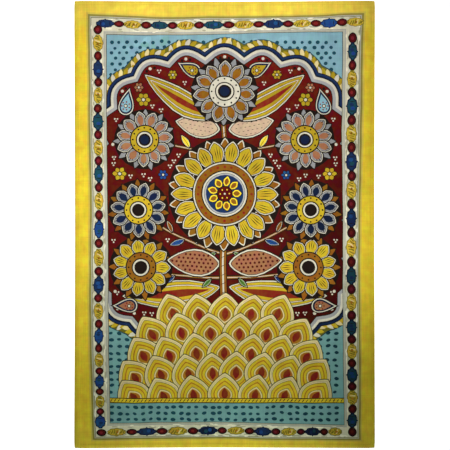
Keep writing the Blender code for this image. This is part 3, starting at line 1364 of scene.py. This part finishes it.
def stitch_tree():
    """Sets one small thread stitch at each pitch along a line, a little unevenly."""
    tree = bpy.data.node_groups.new("hem_stitches", "GeometryNodeTree")
    face = tree.interface
    face.new_socket("Geometry", in_out="INPUT", socket_type="NodeSocketGeometry")
    for name in ("Pitch", "Length", "Width", "Height"):
        face.new_socket(name, in_out="INPUT", socket_type="NodeSocketFloat")
    face.new_socket("Thread", in_out="INPUT", socket_type="NodeSocketMaterial")
    face.new_socket("Geometry", in_out="OUTPUT", socket_type="NodeSocketGeometry")
    given = node(tree, "NodeGroupInput").outputs
    line = node(tree, "GeometryNodeMeshToCurve", {"Mesh": given["Geometry"]})
    spaced = node(tree, "GeometryNodeResampleCurve", {"Curve": line.outputs["Curve"],
                                                      "Length": given["Pitch"]}, mode="LENGTH")
    size = node(tree, "ShaderNodeCombineXYZ", {"X": given["Length"], "Y": given["Width"],
                                               "Z": given["Height"]})
    bead = node(tree, "GeometryNodeMeshUVSphere", {"Segments": 8, "Rings": 5, "Radius": 0.5})
    along = node(tree, "FunctionNodeAlignRotationToVector",
                 {"Vector": node(tree, "GeometryNodeInputTangent").outputs["Tangent"]}, axis="X")
    uneven = node(tree, "FunctionNodeRandomValue", {0: (0.86, 0.9, 0.9), 1: (1.08, 1.1, 1.1), "Seed": 5},
                  data_type="FLOAT_VECTOR")
    scale = node(tree, "ShaderNodeVectorMath", {0: size.outputs["Vector"], 1: uneven.outputs["Value"]},
                 operation="MULTIPLY")
    stitches = node(tree, "GeometryNodeInstanceOnPoints",
                    {"Points": spaced.outputs["Curve"], "Instance": bead.outputs["Mesh"],
                     "Rotation": along.outputs["Rotation"], "Scale": scale.outputs["Vector"]})
    real = node(tree, "GeometryNodeRealizeInstances", {"Geometry": stitches.outputs["Instances"]})
    dressed = node(tree, "GeometryNodeSetMaterial",
                   {"Geometry": real.outputs["Geometry"], "Material": given["Thread"]})
    node(tree, "NodeGroupOutput", {"Geometry": dressed.outputs["Geometry"]})
    return tree


def build_stitches(thread):
    """The running stitch that holds the turned hem, on the painted face."""
    points = []
    for p in cloth_outline(STITCH_DEPTH):
        height = lift(p.real, p.imag) + CLOTH_THICK + HEM_EXTRA
        points.append((p.real / 1000, p.imag / 1000, height / 1000))
    mesh = bpy.data.meshes.new("stitch_line")
    mesh.from_pydata(points, [(k, (k + 1) % len(points)) for k in range(len(points))], [])
    guide = new_object("stitch_line", mesh)
    modifier = guide.modifiers.new("stitches", "NODES")
    modifier.node_group = stitch_tree()
    values = {"Pitch": STITCH_PITCH, "Length": STITCH_LENGTH, "Width": STITCH_WIDTH,
              "Height": STITCH_HEIGHT, "Thread": thread}
    for item in modifier.node_group.interface.items_tree:
        if item.in_out == "INPUT" and item.name in values:
            modifier[item.identifier] = values[item.name]
    seen = guide.evaluated_get(bpy.context.evaluated_depsgraph_get())
    made = bpy.data.meshes.new_from_object(seen)
    made.name = "hem_stitches"
    made.shade_smooth()
    bpy.data.objects.remove(guide)
    return new_object("hem_stitches", made)


# The studio: floor, lamp and surroundings
FLOOR_SIZE = 30.0
FLOOR_LEVEL = -0.0002
FLOOR_GLOW = 0.95
# Each lamp's place, the way it faces, its size, the spread that its grid lets through, its
# power, and the colour of its light: neutral above, a little greener low down
LAMPS = (
    {"place": (0.106, 0.257, 0.498), "facing": (-0.32, 0.008, -1.0), "size": (0.685, 0.842),
     "spread": 55.3, "power": 1.95, "colour": (1.0, 0.99, 0.94)},
    {"place": (0.113, -0.697, 0.636), "facing": (-0.257, 0.428, -1.0), "size": (0.342, 1.191),
     "spread": 83.6, "power": 1.86, "colour": (0.90, 1.0, 0.84)},
)
SURROUND = 0.03


def hang_lamp(place, facing, size, spread, power, colour):
    """A soft box with a grid, its first side kept level."""
    lamp = bpy.data.lights.new("lamp", "AREA")
    lamp.shape = "RECTANGLE"
    lamp.size, lamp.size_y = size
    lamp.spread = math.radians(spread)
    lamp.energy = power
    lamp.color = colour
    hung = new_object("lamp", lamp)
    back = -Vector(facing).normalized()
    side = Vector((back.z, 0, -back.x)).normalized()
    turned = Matrix((side, back.cross(side), back)).transposed()
    hung.matrix_world = Matrix.Translation(place) @ turned.to_4x4()
    hung.visible_camera = False


def build_studio():
    """A white paper floor, soft lamps with grids over the cloth, and dim air."""
    half = FLOOR_SIZE / 2
    corners = [(-half, -half, FLOOR_LEVEL), (half, -half, FLOOR_LEVEL), (half, half, FLOOR_LEVEL),
               (-half, half, FLOOR_LEVEL)]
    mesh = bpy.data.meshes.new("floor")
    mesh.from_pydata(corners, [], [(0, 1, 2, 3)])
    mesh.materials.append(white_paper())
    new_object("floor", mesh)
    for row in LAMPS:
        hang_lamp(**row)
    world = bpy.data.worlds.new("studio_air")
    bpy.context.scene.world = world
    world.use_nodes = True
    air = world.node_tree.nodes["Background"]
    air.inputs["Color"].default_value = (1.0, 1.0, 1.0, 1.0)
    air.inputs["Strength"].default_value = SURROUND
    bpy.context.scene.view_settings.view_transform = "Standard"


def build_camera():
    """Looks straight down on the cloth, with the picture's top up."""
    data = bpy.data.cameras.new("camera")
    data.sensor_width = SENSOR_WIDTH
    data.lens = SENSOR_WIDTH * CAMERA_PLACE[2] / (PHOTO_PIXELS * METRES_PER_PIXEL)
    camera = new_object("camera", data)
    camera.location = CAMERA_PLACE
    bpy.context.scene.camera = camera


def main():
    build_camera()
    cloth = build_sheet()
    cloth.data.materials.append(painted_cotton())
    stitches = build_stitches(sewing_cotton())
    build_studio()
    for piece in (cloth, stitches):
        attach(piece, "root")
    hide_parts(CAD_CLOTH)


main()
